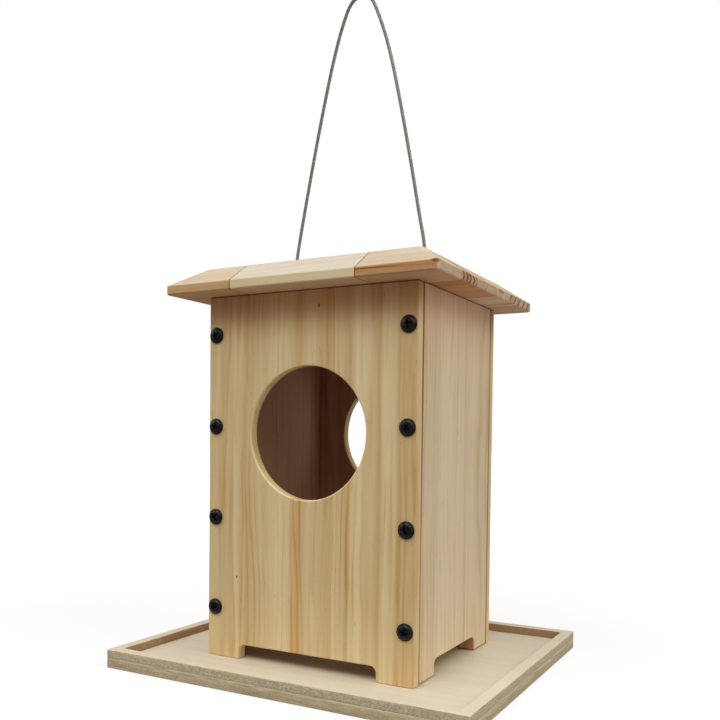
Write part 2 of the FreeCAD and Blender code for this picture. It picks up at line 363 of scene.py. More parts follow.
def pine(name, pale, dark, axes, board, pith=-150.0, ring=3.0, contrast=1.0, seed=0.0,
         touches=()):
    """Solid pine glued up from staves. axes are the object axes (0 to 2) that run across the
    staves, through the board's thickness and along the grain. pith is how far the log's centre
    lies below the board. touches are functions that return a mask and a colour to multiply it
    by: marks of the wood, and painted light and shade."""
    finish = Finish(name)
    place = finish.split(finish.place())
    across, depth, along = (place[i] for i in axes)

    # The grain wanders a little along the board and flows round its knots.
    drift = finish.noise(finish.join(across * 0.016, 0.0, along * 0.007), 1.0, 2.0, 0.5, seed)
    path = across + (drift - 0.5) * 7.0
    spots = []
    for centre, height, radius in board.knots:
        reach = finish.reach(
            (across - centre) / radius, (along - height) / (1.5 * radius), 0.0,
        )
        path = path - (across - centre) * 0.8 / (reach * reach * 0.4 + 1.0)
        spots.append(1.0 - finish.band(reach, 0.5, 1.15))

    low, high = board.span
    width = high - low
    cuts = [(max(0.0, (edge - low) / width), shift) for edge, shift in board.staves]
    shift = finish.split(finish.ramp((across - low) / width, cuts, "CONSTANT"))[0]
    looks = [((x - low) / width, (tone / 2, warmth, 0.0, 1.0)) for x, tone, warmth in board.figure]
    half_tone, warmth, _ = finish.split(finish.ramp((path - low) / width, looks, "EASE"))
    tone = half_tone * 2.0 - 1.0
    lift = shift * 37.0 + seed

    # Growth rings, uneven in width and fading in and out along the board.
    from_pith = finish.reach(path - (shift - 0.5) * 260.0, depth - pith, along * 0.012)
    uneven = finish.noise(finish.join(from_pith * 0.09, lift, along * 0.0035), 1.0, 3.0, 0.6, lift)
    phase = (from_pith / ring + uneven * 5.0).math("FRACT")
    late = finish.split(finish.ramp(phase, RING, "EASE"))[0]
    fade = finish.noise(finish.join(from_pith * 0.07, depth * 0.02, along * 0.011), 1.0, 2.0, 0.5,
                        lift + 7.0)
    late = late * finish.band(fade, 0.28, 0.68)

    # Fibres, broad streaks and short resin canals run along the grain.
    fibre = finish.noise(finish.join(path, depth, along * 0.035), 1.5, 3.0, 0.62, lift)
    streak = finish.noise(finish.join(path, depth * 0.5, along * 0.016), 0.30, 3.0, 0.6, lift + 5)
    canals = finish.noise(finish.join(path, depth, along * 0.11), 1.5, 1.0, 0.5, lift + 9.0)
    canal = finish.band(canals, 0.69, 0.80)
    cloud = finish.noise(finish.join(path * 0.05, depth * 0.05, along * 0.018), 1.0, 2.0, 0.5,
                         lift + 3.0)

    weight = late * (0.30 + 0.45 * cloud) + (streak - 0.5) * 0.75 + (cloud - 0.5) * 0.35
    grain = (weight * contrast - tone * 1.2).math("ADD", 0.30, clamp=True)
    base = finish.mix(grain, pale, dark)
    glow = (warmth * (0.35 + 0.6 * streak) + (late - 0.5) * 0.18).math("ADD", 0.0, clamp=True)
    base = finish.mix(glow, base, WARM, "MULTIPLY")
    for spot in spots:
        base = finish.mix(spot, base, KNOT, "MULTIPLY")
    # Each touch multiplies in its colour; some are marks of the wood, some painted light and shade.
    for touch in touches:
        mask, tint = touch(finish, place)
        base = finish.mix(mask, base, tint, "MULTIPLY")
    level = (1.0 + tone * 0.3) * (0.91 + 0.18 * fibre) * (1.0 - 0.30 * canal)
    finish.set(
        Base_Color=times(finish, base, level),
        Roughness=0.56 - 0.10 * late + 0.10 * fibre,
        IOR=1.45,
        Specular_IOR_Level=0.3,
        Normal=finish.bump(fibre * 0.5 + late * 0.35 - canal * 0.6, 0.35, 0.00018),
    )
    return finish.material


def line_at(axis, spot, half):
    """A dark line where a coordinate, of either sign, is within half of a spot. It marks the joints
    between the roof's boards and, at the side panels' feet, stands for a painted gap shadow.
    """
    def touch(finish, place):
        away = abs(abs(place[axis]) - spot)
        return 1.0 - finish.band(away, 0.35 * half, half), JOINT_AND_GAP_SHADOW
    return touch


def shade_inside(axis, spot, tint):
    """Painted shade wherever a coordinate, of either sign, is less than a spot."""
    def touch(finish, place):
        return 1.0 - finish.band(abs(place[axis]), spot - 0.2, spot + 0.2), tint
    return touch


def end_grain(axis, tint):
    """A stain on the faces cut across the grain."""
    def touch(finish, place):
        return finish.band(abs(finish.facing(axis)), 0.75, 0.95), tint
    return touch


def times(finish, base, level):
    """A colour made lighter or darker by a wire."""
    start = base if isinstance(base, Wire) else base[:3]
    return finish.node(
        "ShaderNodeVectorMath", {"operation": "SCALE"}, {"Vector": start, "Scale": level}
    )


def plywood(name, face, edge, seed=0.0, inner=None, shaded_patch=None):
    """Plywood: a smooth veneer on the flat faces and cut plies round the edges. inner is the
    axis and place of a rim strip's inner wall, darkened as painted shade; sheltered is the half
    width and half depth of the patch that something stands over, darkened as painted shade."""
    finish = Finish(name)
    place = finish.place()
    across, depth, height = finish.split(place)
    flat = finish.band(abs(finish.facing(Z)), 0.6, 0.85)

    veneer = finish.join(across * 0.035, depth, height)
    fibre = finish.noise(veneer, 1.3, 3.0, 0.65, seed)
    figure = finish.noise(finish.join(across * 0.05, depth, height), 0.09, 3.0, 0.55, seed + 2)
    pores = finish.noise(finish.join(across * 0.25, depth, height), 1.1, 2.0, 0.6, seed + 3)
    speck = finish.band(pores, 0.70, 0.76)
    top = finish.mix(finish.band(figure, 0.3, 0.75) * 0.6, face, shade(face, 0.87))
    top = finish.mix(speck * 0.55, top, shade(face, 0.35))
    top = times(finish, top, 0.95 + 0.10 * fibre)
    # Painted shade on the tray where the tower stands over it.
    if shaded_patch:
        patch = 1.0 - finish.band(abs(across), shaded_patch[0] - 10.0, shaded_patch[0])
        patch = patch * (1.0 - finish.band(abs(depth), shaded_patch[1] - 10.0, shaded_patch[1]))
        patch = patch * finish.band(height, 5.0, 6.0)
        top = finish.mix(patch, top, PLY_PAINTED_SHADE, "MULTIPLY")

    # The plies show as bands on the cut edges, end grain and long grain in turn.
    sway = finish.noise(finish.join(across * 0.04, depth * 0.04, height * 0.15), 1.0, 3.0, 0.65,
                        seed + 5)
    wavy = height + (sway - 0.5) * 4.0
    tone, ends, yellow = finish.split(finish.ramp(wavy / PLIES_HEIGHT, PLIES))
    speckle = finish.noise(finish.join(across, depth, height * 1.3), 1.0, 2.0, 0.8, seed + 4)
    long = finish.noise(finish.join(across * 0.07, depth * 0.07, height), 0.9, 3.0, 0.65,
                        seed + 6)
    blotch = finish.noise(finish.join(across * 0.05, depth * 0.05, height * 0.3), 1.0, 2.0, 0.6,
                          seed + 8)
    gap = finish.band(long, 0.58, 0.68) * finish.band(blotch, 0.50, 0.60)
    texture = (0.25 + ends) * (speckle - 0.5) * 1.6 + (1.15 - ends) * (long - 0.5) * 1.5
    side = finish.mix(yellow * (0.4 + blotch), edge, YELLOW, "MULTIPLY")
    side = times(finish, side, tone * 2.0 * (0.86 + texture + 0.3 * blotch) * (1.0 - 0.45 * gap))
    # Painted shade on a rim strip's inner wall.
    if inner:
        axis, wall = inner
        within = 1.0 - finish.band(abs((across, depth)[axis]), wall + 0.1, wall + 0.4)
        side = finish.mix(within, side, PLY_INNER_SHADE, "MULTIPLY")
    finish.set(
        Base_Color=finish.mix(flat, side, top),
        Roughness=0.66 - 0.12 * flat,
        Specular_IOR_Level=0.3,
        Normal=finish.bump(fibre * flat * 0.3 + (1.0 - flat) * texture, 0.4, 0.0002),
    )
    return finish.material


def metal(name, rgb, roughness, metallic, wear):
    """Metal with fine handling marks."""
    finish = Finish(name)
    place = finish.place()
    marks = finish.noise(place, 1.1, 4.0, 0.6, 1.0)
    fine = finish.noise(place, 6.0, 2.0, 0.6, 2.0)
    finish.set(
        Base_Color=finish.mix(finish.band(marks, 0.35, 0.75), rgb, shade(rgb, wear)),
        Metallic=metallic,
        Roughness=roughness + 0.16 * (marks - 0.5) + 0.08 * (fine - 0.5),
        Normal=finish.bump(fine, 0.15, 0.00004),
    )
    return finish.material


# ---------------------------------------------------------------- modelling tools

def deselect():
    if bpy.context.mode != "OBJECT":
        bpy.ops.object.mode_set(mode="OBJECT")
    bpy.ops.object.select_all(action="DESELECT")


def select(target):
    deselect()
    target.select_set(True)
    bpy.context.view_layer.objects.active = target


def pick(mesh_object, elements, test):
    """Leaves edit mode's selection at the vertices, edges or faces that pass a test."""
    bpy.ops.object.mode_set(mode="EDIT")
    mode = {"verts": "VERT", "edges": "EDGE", "faces": "FACE"}[elements]
    bpy.ops.mesh.select_mode(type=mode)
    bpy.ops.mesh.select_all(action="DESELECT")
    shape = bmesh.from_edit_mesh(mesh_object.data)
    for element in getattr(shape, elements):
        element.select_set(bool(test(element)))
    shape.select_flush_mode()
    bmesh.update_edit_mesh(mesh_object.data)


def middle(element):
    points = [v.co for v in element.verts]
    return sum(points, Vector()) / len(points)


def apply_modifier(target, kind, **settings):
    select(target)
    modifier = target.modifiers.new(kind, kind)
    for key, value in settings.items():
        setattr(modifier, key, value)
    bpy.ops.object.modifier_apply(modifier=modifier.name)


def settle(target):
    """Puts an object's place, turn and size into its mesh."""
    select(target)
    bpy.ops.object.transform_apply(location=True, rotation=True, scale=True)


def smooth(target, degrees):
    """Smooth shading, but for the edges sharper than an angle."""
    select(target)
    bpy.ops.object.shade_smooth_by_angle(angle=math.radians(degrees))


def copies(model, name, places):
    """Copies a model to each place, a matrix, and joins them as one piece."""
    made = []
    for place in places:
        twin = model.copy()
        twin.data = model.data.copy()
        twin.data.transform(place)
        bpy.context.collection.objects.link(twin)
        made.append(twin)
    deselect()
    for twin in made:
        twin.select_set(True)
    bpy.context.view_layer.objects.active = made[0]
    if len(made) > 1:
        bpy.ops.object.join()
    made[0].name = name
    made[0].data.name = name
    return made[0]


def finish_with(target, material):
    target.data.materials.clear()
    target.data.materials.append(material)


def coat(node, material, ease=0.0):
    """Gives a CAD node its material and, with ease, takes off its sharp corners. The faces of
    a CAD mesh are welded first, as a bevel only works on edges that two faces share."""
    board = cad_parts[node]
    for slot in board.material_slots:
        slot.material = material
    if ease:
        weld = board.modifiers.new("weld", "WELD")
        weld.merge_threshold = 0.005 * MM
        bevel = board.modifiers.new("ease", "BEVEL")
        bevel.width = ease
        bevel.segments = 2
        bevel.limit_method = "ANGLE"
        bevel.angle_limit = math.radians(25)


# ---------------------------------------------------------------- cable

def route_points(points):
    """The smooth line of a NURBS spline through a route's control points."""
    curve = bpy.data.curves.new("route", "CURVE")
    curve.dimensions = "3D"
    curve.resolution_u = 24
    spline = curve.splines.new("NURBS")
    spline.points.add(len(points) - 1)
    for point, (x, z) in zip(spline.points, points):
        point.co = (x, 0.0, z, 1.0)
    spline.order_u = 3
    spline.use_endpoint_u = True
    holder = bpy.data.objects.new("route", curve)
    bpy.context.collection.objects.link(holder)
    line = bpy.data.meshes.new_from_object(holder)
    made = np.array([v.co for v in line.vertices])
    bpy.data.objects.remove(holder)
    bpy.data.curves.remove(curve)
    bpy.data.meshes.remove(line)
    return made


def even(points, step):
    """The same line with points a step apart."""
    runs = np.linalg.norm(np.diff(points, axis=0), axis=1)
    distance = np.concatenate(([0.0], np.cumsum(runs)))
    count = max(2, int(round(distance[-1] / step)))
    wanted = np.linspace(0.0, distance[-1], count + 1)
    return np.stack([np.interp(wanted, distance, points[:, i]) for i in range(3)], 1), wanted


def strands(name, points, diameter, lay, start_turn=0.0):
    """A wire rope along a line in the XZ plane: six strands laid round a seventh."""
    sides = STRAND_SIDES
    line, distance = even(points, STRAND_STEP)
    tangent = np.gradient(line, axis=0)
    tangent /= np.linalg.norm(tangent, axis=1)[:, None]
    side = np.tile((0.0, 1.0, 0.0), (len(line), 1))
    normal = np.cross(side, tangent)
    strand_radius = diameter * STRAND_SHARE
    verts, faces, uvs = [], [], []
    for strand in range(7):
        orbit = 0.0 if strand == 6 else 2 * strand_radius
        turn = start_turn + 2 * math.pi * (distance / lay + strand / 6)
        out = normal * np.cos(turn)[:, None] + side * np.sin(turn)[:, None]
        centre = line + orbit * out
        ahead = np.gradient(centre, axis=0)
        ahead /= np.linalg.norm(ahead, axis=1)[:, None]
        first = out - ahead * np.sum(out * ahead, axis=1)[:, None]
        first /= np.linalg.norm(first, axis=1)[:, None]
        second = np.cross(ahead, first)
        base = len(verts)
        radius = strand_radius * (1.0 if strand < 6 else CORE_SHARE)
        for i in range(len(line)):
            for k in range(sides):
                angle = 2 * math.pi * k / sides
                verts.append(centre[i] + radius * (math.cos(angle) * first[i]
                                                   + math.sin(angle) * second[i]))
        for i in range(len(line) - 1):
            for k in range(sides):
                a = base + i * sides + k
                b = base + i * sides + (k + 1) % sides
                faces.append((a, b, b + sides, a + sides))
                v0, v1 = distance[i] / lay, distance[i + 1] / lay
                uvs.extend(((k / sides, v0), ((k + 1) / sides, v0),
                            ((k + 1) / sides, v1), (k / sides, v1)))
        last = base + (len(line) - 1) * sides
        faces.append(tuple(base + k for k in reversed(range(sides))))
        faces.append(tuple(last + k for k in range(sides)))
        uvs.extend([(0.5, 0.0)] * (2 * sides))
    mesh = bpy.data.meshes.new(name)
    mesh.from_pydata([tuple(v) for v in verts], [], faces)
    layer = mesh.uv_layers.new(name="along")
    layer.data.foreach_set("uv", np.array(uvs, np.float32).ravel())
    mesh.shade_smooth()
    rope = bpy.data.objects.new(name, mesh)
    bpy.context.collection.objects.link(rope)
    return rope, line


def cable_finish(rgb):
    """Drawn steel wires laid into strands, with painted shade in the grooves between the wires."""
    finish = Finish("cable_steel")
    uv = finish.split(finish.node("ShaderNodeTexCoord", output="UV"))
    wires = ((uv[0] * STRAND_WIRES + uv[1] * WIRE_TURNS) * (2 * math.pi)).math("SINE")
    marks = finish.noise(finish.place(), 0.8, 3.0, 0.6, 3.0)
    # The grooves between the wires are darkened: painted shade.
    level = 0.90 + 0.10 * wires + 0.25 * (marks - 0.5)
    finish.set(
        Base_Color=times(finish, rgb, level),
        Metallic=0.55,
        Roughness=0.46 + 0.2 * (marks - 0.5),
        Normal=finish.bump(wires, 0.5, 0.00005),
    )
    return finish.material


class FEEDER_OT_cable(bpy.types.Operator):
    """Make the steel cable: the loop over the roof, two legs and their crimped stops"""

    bl_idname = "feeder.cable"
    bl_label = "Cable"

    def execute(self, context):
        sizes, colours = context.scene.feeder_sizes, context.scene.feeder_colours
        steel = cable_finish(colours.steel)
        diameter, lay = sizes.cable_diameter, sizes.strand_lay
        stop_metal = metal("stop_aluminium", colours.aluminium, 0.42, 1.0, 0.8)

        legs, stops = [], []
        for side, sign in (("left", -1), ("right", 1)):
            low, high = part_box(f"cable_leg_{side}")
            x = (low.x + high.x) / 2
            points = np.array([(x, 0.0, low.z), (x, 0.0, high.z)])
            leg, _ = strands(f"leg_{side}", points, diameter, lay, start_turn=sign * 0.6)
            finish_with(leg, steel)
            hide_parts(f"cable_leg_{side}")
            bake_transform(leg)
            legs.append(leg)
            stop = crimped_stop(side)
            finish_with(stop, stop_metal)
            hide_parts(f"cable_stop_{side}")
            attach(stop, "feeder")
            stops.append(stop)

        loop, line = strands("loop", route_points(LOOP_ROUTE), diameter, lay)
        finish_with(loop, steel)
        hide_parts("cable_loop")
        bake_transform(loop)
        return {"FINISHED"}


STOP_CUTS = (0.18, 0.30, 0.40, 0.60, 0.70, 0.82)  # rings of vertices, in shares of its height
STOP_CRIMPS = (0.30, 0.70)
CRIMP = 0.78  # the squeezed width against the round one


def crimped_stop(side):
    """An aluminium sleeve, squeezed round the cable in two places."""
    low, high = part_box(f"cable_stop_{side}")
    x, radius, height = (low.x + high.x) / 2, (high.x - low.x) / 2, high.z - low.z
    deselect()
    bpy.ops.mesh.primitive_cylinder_add(
        vertices=32, radius=radius, depth=height, end_fill_type="NGON",
        location=(x, 0.0, (low.z + high.z) / 2),
    )
    stop = bpy.context.object
    stop.name = f"stop_{side}"
    settle(stop)
    for share in STOP_CUTS:
        pick(stop, "faces", lambda face: True)
        bpy.ops.mesh.bisect(
            plane_co=(x, 0.0, low.z + share * height), plane_no=(0, 0, 1),
        )
    for share in STOP_CRIMPS:
        level = low.z + share * height
        pick(stop, "verts", lambda v: abs(v.co.z - level) < 0.1 * MM)
        bpy.ops.transform.resize(value=(1.0, CRIMP, 1.0), center_override=(x, 0.0, level))
    pick(stop, "edges", lambda e: abs(abs(middle(e).z - (low.z + high.z) / 2) - height / 2)
         < 0.01 * MM)
    bpy.ops.mesh.bevel(offset=0.4 * MM, segments=3, affect="EDGES")
    bpy.ops.object.mode_set(mode="OBJECT")
    smooth(stop, 50.0)
    return stop


# ---------------------------------------------------------------- screws

def cross_cutter(width, reach, depth, top):
    """A tapered cross, to cut a screw's recess."""
    arms = []
    for turn in (0.0, math.pi / 2):
        deselect()
        bpy.ops.mesh.primitive_cube_add(size=1.0, location=(0, 0, top - depth / 2 + 0.5 * MM))
        arm = bpy.context.object
        arm.scale = (reach, width, depth + 1.0 * MM)
        arm.rotation_euler.z = turn
        settle(arm)
        pick(arm, "faces", lambda f: f.normal.z < -0.5)
        bpy.ops.transform.resize(value=(0.45, 0.45, 1.0), center_override=(0, 0, 0))
        bpy.ops.object.mode_set(mode="OBJECT")
        arms.append(arm)
    apply_modifier(arms[0], "BOOLEAN", object=arms[1], operation="UNION", solver="EXACT")
    bpy.data.objects.remove(arms[1])
    return arms[0]


def turned(name, outline, sides):
    """A shape turned round the Z axis from its outline, (radius, height) pairs from the middle
    of its top to the middle of its foot."""
    mesh = bpy.data.meshes.new(name)
    mesh.from_pydata([(r, 0.0, z) for r, z in outline], [(i, i + 1)
                     for i in range(len(outline) - 1)], [])
    shape = bpy.data.objects.new(name, mesh)
    bpy.context.collection.objects.link(shape)
    select(shape)
    bpy.ops.object.mode_set(mode="EDIT")
    bpy.ops.mesh.select_all(action="SELECT")
    bpy.ops.mesh.spin(steps=sides, angle=2 * math.pi, center=(0, 0, 0), axis=(0, 0, 1))
    bpy.ops.mesh.select_all(action="SELECT")
    bpy.ops.mesh.remove_doubles(threshold=0.005 * MM)
    bpy.ops.mesh.normals_make_consistent(inside=False)
    bpy.ops.object.mode_set(mode="OBJECT")
    return shape


def cut_recess(screw, cutter):
    apply_modifier(screw, "BOOLEAN", object=cutter, operation="DIFFERENCE", solver="EXACT")
    bpy.data.objects.remove(cutter)
    apply_modifier(screw, "BEVEL", width=0.1 * MM, segments=2, limit_method="ANGLE",
                   angle_limit=math.radians(40))
    smooth(screw, 40.0)
    return screw


# A panel screw's lengths are counted from its head's seat, a sunk screw's from its flat head.
PANEL_SHANK_RADIUS = 2.0 * MM
PANEL_SHANK_LENGTH = 22.0 * MM
PANEL_SCREW_LENGTH = 28.0 * MM
SunkScrew = namedtuple("SunkScrew", "head_radius shank_radius length")
TRAY_SCREW = SunkScrew(3.6 * MM, 1.75 * MM, 30 * MM)
BATTEN_SCREW = SunkScrew(3.0 * MM, 1.5 * MM, 20 * MM)
SUNK_POINT = 4.0 * MM
INNER_SCREW_X = 22 * MM  # a batten's two inner screws, left and right of its middle
SCREW_ROWS = 4
TURN_STEP = math.radians(37)  # from one screw's cross to the next, so that none line up


# The dome and its rolled edge: share of the head's radius, and millimetres below its top.
DOME = (
    (0.0, 0.0), (0.25, 0.03), (0.45, 0.12), (0.60, 0.28), (0.71, 0.52), (0.79, 0.85),
    (0.83, 1.15), (0.86, 1.28), (0.90, 1.30), (0.95, 1.38), (0.985, 1.58), (1.0, 1.85),
)


def domed_screw(sizes):
    """A panel screw along Z: a low dome with a rolled edge, a cross recess and its shank."""
    radius, height = sizes.head_radius, sizes.head_height
    outline = [(share * radius, height - drop * MM) for share, drop in DOME]
    outline += [(radius * 0.99, 0.15 * MM), (radius * 0.96, 0.0),
                (PANEL_SHANK_RADIUS, 0.0), (PANEL_SHANK_RADIUS, -PANEL_SHANK_LENGTH),
                (0.0, -PANEL_SCREW_LENGTH)]
    screw = turned("domed_screw", outline, 40)
    cutter = cross_cutter(sizes.recess_width, 2 * radius * 0.66, sizes.recess_depth, height)
    return cut_recess(screw, cutter)


class FEEDER_OT_panel_screws(bpy.types.Operator):
    """Make the black domed screws that hold the front and back panels"""

    bl_idname = "feeder.panel_screws"
    bl_label = "Panel screws"

    def execute(self, context):
        sizes, colours = context.scene.feeder_sizes, context.scene.feeder_colours
        black = metal("black_screw", colours.black, 0.30, 0.30, 1.5)
        model = domed_screw(sizes)
        for face, sign in (("front", -1), ("back", 1)):
            for side, way in (("left", -1), ("right", 1)):
                node = f"screws_{face}_{side}"
                low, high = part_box(node)
                x = (low.x + high.x) / 2
                first, last = low.z + sizes.head_radius, high.z - sizes.head_radius
                outer = low.y if sign < 0 else high.y
                seat = outer - sign * sizes.head_height
                places = []
                aim = Vector((0, sign, 0)).to_track_quat("Z", "Y").to_matrix().to_4x4()
                for row in range(SCREW_ROWS):
                    z = first + (last - first) * row / (SCREW_ROWS - 1)
                    turn = TURN_STEP * (row + 2 * (way > 0) + 5 * (sign > 0))
                    places.append(Matrix.Translation((x, seat, z)) @ aim
                                  @ Matrix.Rotation(turn, 4, "Z"))
                piece = copies(model, f"panel_{node}", places)
                finish_with(piece, black)
                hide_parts(node)
                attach(piece, "feeder")
        bpy.data.objects.remove(model)
        return {"FINISHED"}


def sunk_screw(name, form, sizes):
    """A countersunk screw whose flat head lies at z = 0 and whose point is up."""
    head, shank, tip = form
    outline = [(0.0, 0.0), (head - 0.1 * MM, 0.0), (head, 0.15 * MM), (shank, head - shank),
               (shank, tip - SUNK_POINT), (0.0, tip)]
    screw = turned(name, outline, 32)
    cutter = cross_cutter(sizes.recess_width, head * 1.04, sizes.recess_depth, 0.0)
    cutter.data.transform(Matrix.Rotation(math.pi, 4, "X"))
    return cut_recess(screw, cutter)


class FEEDER_OT_sunk_screws(bpy.types.Operator):
    """Make the plated countersunk screws under the tray and under the roof's battens"""

    bl_idname = "feeder.sunk_screws"
    bl_label = "Countersunk screws"

    def execute(self, context):
        sizes, colours = context.scene.feeder_sizes, context.scene.feeder_colours
        plated = metal("plated_screw", colours.plated, 0.34, 1.0, 0.7)
        long = sunk_screw("long_sunk", TRAY_SCREW, sizes)
        short = sunk_screw("short_sunk", BATTEN_SCREW, sizes)

        low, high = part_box("tray_screws")
        inset = TRAY_SCREW.head_radius
        spots = [(x, y, low.z) for x in (low.x + inset, high.x - inset)
                 for y in (low.y + inset, high.y - inset)]
        self.place(long, "tray_underside_screws", spots, "tray_screws", "feeder", plated)

        for side in ("front", "back"):
            node = f"batten_screws_{side}"
            low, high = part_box(node)
            y = (low.y + high.y) / 2
            outer = high.x - BATTEN_SCREW.head_radius
            spots = [(x, y, low.z) for x in (-outer, -INNER_SCREW_X, INNER_SCREW_X, outer)]
            self.place(short, f"{side}_batten_screws", spots, node, "roof", plated)
        bpy.data.objects.remove(long)
        bpy.data.objects.remove(short)
        return {"FINISHED"}

    def place(self, model, name, spots, node, body, material):
        places = [Matrix.Translation(spot) @ Matrix.Rotation(TURN_STEP * index, 4, "Z")
                  for index, spot in enumerate(spots)]
        piece = copies(model, name, places)
        finish_with(piece, material)
        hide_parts(node)
        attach(piece, body)


# ---------------------------------------------------------------- wood finishes

FACE = Board(
    span=(-75.0, 75.0),
    staves=((-75.0, 0.15), (-46.0, 0.62), (-10.5, 0.33), (24.0, 0.80), (51.0, 0.47)),
    figure=(
        (-75, 0.98, 0.05), (-69, 1.02, 0.05), (-63, 0.88, 0.10), (-60, 1.00, 0.05),
        (-57.5, 0.92, 0.15), (-54, 1.05, 0.0), (-48, 1.00, 0.0), (-45, 0.83, 0.15),
        (-42, 0.90, 0.15), (-37, 0.96, 0.10), (-33, 1.04, 0.0), (-30, 1.00, 0.0),
        (-25, 1.11, 0.0), (-18, 1.15, 0.0), (-12, 1.11, 0.0), (-9, 0.96, 0.60),
        (-5, 0.92, 0.80), (-2, 0.98, 0.30), (3, 1.10, 0.0), (9, 1.00, 0.10),
        (14, 0.91, 0.30), (18, 0.86, 0.60), (21, 1.06, 0.05), (27, 0.99, 0.20),
        (30, 0.87, 0.30), (33, 1.10, 0.0), (36, 1.18, 0.0), (45, 1.08, 0.0),
        (51, 0.85, 0.30), (54, 1.14, 0.0), (60, 1.08, 0.0), (63.5, 0.90, 0.30),
    ),
    knots=((8.5, 231.0, 0.9), (-52.0, 60.0, 0.7)),
)
SIDE = Board(
    span=(-57.0, 57.0),
    staves=((-57.0, 0.70), (-10.0, 0.22), (30.0, 0.55)),
    figure=(
        (-57, 0.84, 0.30), (-54, 0.90, 0.25), (-51, 0.98, 0.10), (-43, 0.99, 0.10),
        (-39, 0.93, 0.20), (-35, 0.96, 0.15), (-31, 1.05, 0.0), (-25, 1.09, 0.0),
        (-19, 1.07, 0.0), (-12, 1.09, 0.0), (-7, 1.06, 0.0), (-3, 0.99, 0.10),
        (1, 1.06, 0.0), (9, 1.03, 0.05), (13, 0.92, 0.20), (17, 1.02, 0.05),
        (25, 1.04, 0.05), (33, 1.00, 0.10), (37, 0.97, 0.10), (43, 0.94, 0.10),
        (49, 0.96, 0.05), (54, 0.94, 0.15), (57, 0.86, 0.40),
    ),
    knots=(),
)
LEFT_BOARD = Board(
    span=(-84.0, 84.0),
    staves=((-84.0, 0.36), (-38.0, 0.66), (20.0, 0.44)),
    figure=(
        (-84, 1.00, 0.15), (-74, 1.02, 0.10), (-60, 0.98, 0.20), (-44, 1.04, 0.05),
        (-20, 0.97, 0.20), (0, 1.03, 0.05), (24, 0.98, 0.15), (50, 1.04, 0.05),
        (70, 0.98, 0.15),
    ),
    knots=(),
)
CENTRE_BOARD = Board(
    span=(-84.0, 84.0),
    staves=((-84.0, 0.80), (-30.0, 0.25), (28.0, 0.60)),
    figure=(
        (-84, 0.99, 0.10), (-76, 1.02, 0.0), (-62, 1.00, 0.05), (-40, 1.03, 0.0),
        (-10, 0.98, 0.10), (20, 1.02, 0.0), (48, 0.98, 0.10), (70, 1.01, 0.0),
    ),
    knots=(),
)
RIGHT_BOARD = Board(
    span=(-84.0, 84.0),
    staves=((-84.0, 0.30), (-50.0, 0.66), (9.5, 0.44)),
    figure=(
        (-84, 0.98, 0.20), (-78, 1.02, 0.05), (-66, 1.03, 0.0), (-54, 1.02, 0.0),
        (-50.5, 0.90, 0.20), (-47, 0.72, 0.70), (-44, 0.95, 0.30), (-41, 0.66, 0.80),
        (-37, 0.74, 0.80), (-33, 0.90, 0.45), (-29, 0.82, 0.50), (-22, 0.95, 0.35),
        (-5, 0.92, 0.45), (6, 0.88, 0.45), (11, 1.02, 0.05), (17, 0.92, 0.10),
        (24, 1.06, 0.0), (36, 0.98, 0.20), (42, 0.78, 0.50), (47, 1.04, 0.10),
        (53, 0.80, 0.50), (58, 1.04, 0.10), (63, 0.84, 0.45), (68, 1.04, 0.10),
        (74, 0.86, 0.45), (79, 1.00, 0.20),
    ),
    knots=(),
)
PLAIN = Board(
    span=(-84.0, 84.0), staves=((-84.0, 0.40),),
    figure=((-84, 0.97, 0.2), (-30, 1.0, 0.1), (20, 0.96, 0.2), (60, 1.0, 0.1)), knots=(),
)
# Places on the CAD model, in millimetres from its middle and from its foot.
TOWER_TOP = 241.5  # where the roof's underside lies as well
TOWER_SIDE = 75.0
TOWER_FACE = 63.5
SIDE_PANEL_EDGE = 56.5
ABOVE_FEET = 25.0
TRAY_TOP = 6.5
HOLE_HEIGHT = 153.5
HOLE_RADIUS = 41.5
ROOF_END = 95.5
ROOF_EDGE = 83.5
ROOF_SEAM = 44.0
BEVEL_FOOT = 247.2
HIND_STAVE = 9.5
RESIN_HEIGHT = 245.8
CORNER_KNOT = (93.5, -83.5, 247.0)
TINGE_PLACE = (95.5, 19.0, 246.0)

# More tints, for one board or place each. The roof's upright edges have their own tints below its
# bevels. The tower's inner faces, the roof's underside, the panels' tops and the walls by the feet
# get painted shade, the gap under the roof a painted shadow, the hole's wall and front corner
# painted light, and the hind stave's underside paler wood with painted light.
INNER_SHADE = (0.93, 0.76, 0.74, 1.0)
FAR_INNER_SHADE = (0.70, 0.56, 0.68, 1.0)
UNDERSIDE_SHADE = (1.12, 0.83, 0.65, 1.0)
LEFT_EDGE = (0.92, 0.76, 0.53, 1.0)
CENTRE_EDGE = (1.12, 1.05, 0.80, 1.0)
RIGHT_EDGE = (0.85, 0.67, 0.48, 1.0)
END_EDGE = (0.95, 0.87, 0.82, 1.0)
ENDS = (0.95, 0.88, 0.78, 1.0)
HOLE_WALL_LIGHT = (1.20, 1.24, 1.15, 1.0)
HOLE_ARRIS_HIGHLIGHT = (1.20, 1.26, 1.42, 1.0)
RESIN = (0.52, 0.36, 0.24, 1.0)
AMBER = (1.05, 0.86, 0.62, 1.0)
GAP_SHADOW = (0.30, 0.17, 0.10, 1.0)
ROOF_SHADE = (0.78, 0.58, 0.49, 1.0)
SIDE_ROOF_SHADE = (1.0, 0.86, 0.80, 1.0)
SIDE_JOINT = (0.34, 0.19, 0.10, 1.0)
FOOT_SHADE = (0.66, 0.42, 0.32, 1.0)
PALE_EDGE = (1.08, 1.14, 1.24, 1.0)
EDGE_JOINT = (0.42, 0.26, 0.16, 1.0)
END_RINGS = (0.30, 0.21, 0.15, 1.0)
PALE_STAVE_AND_LIGHT = (1.15, 1.42, 1.85, 1.0)
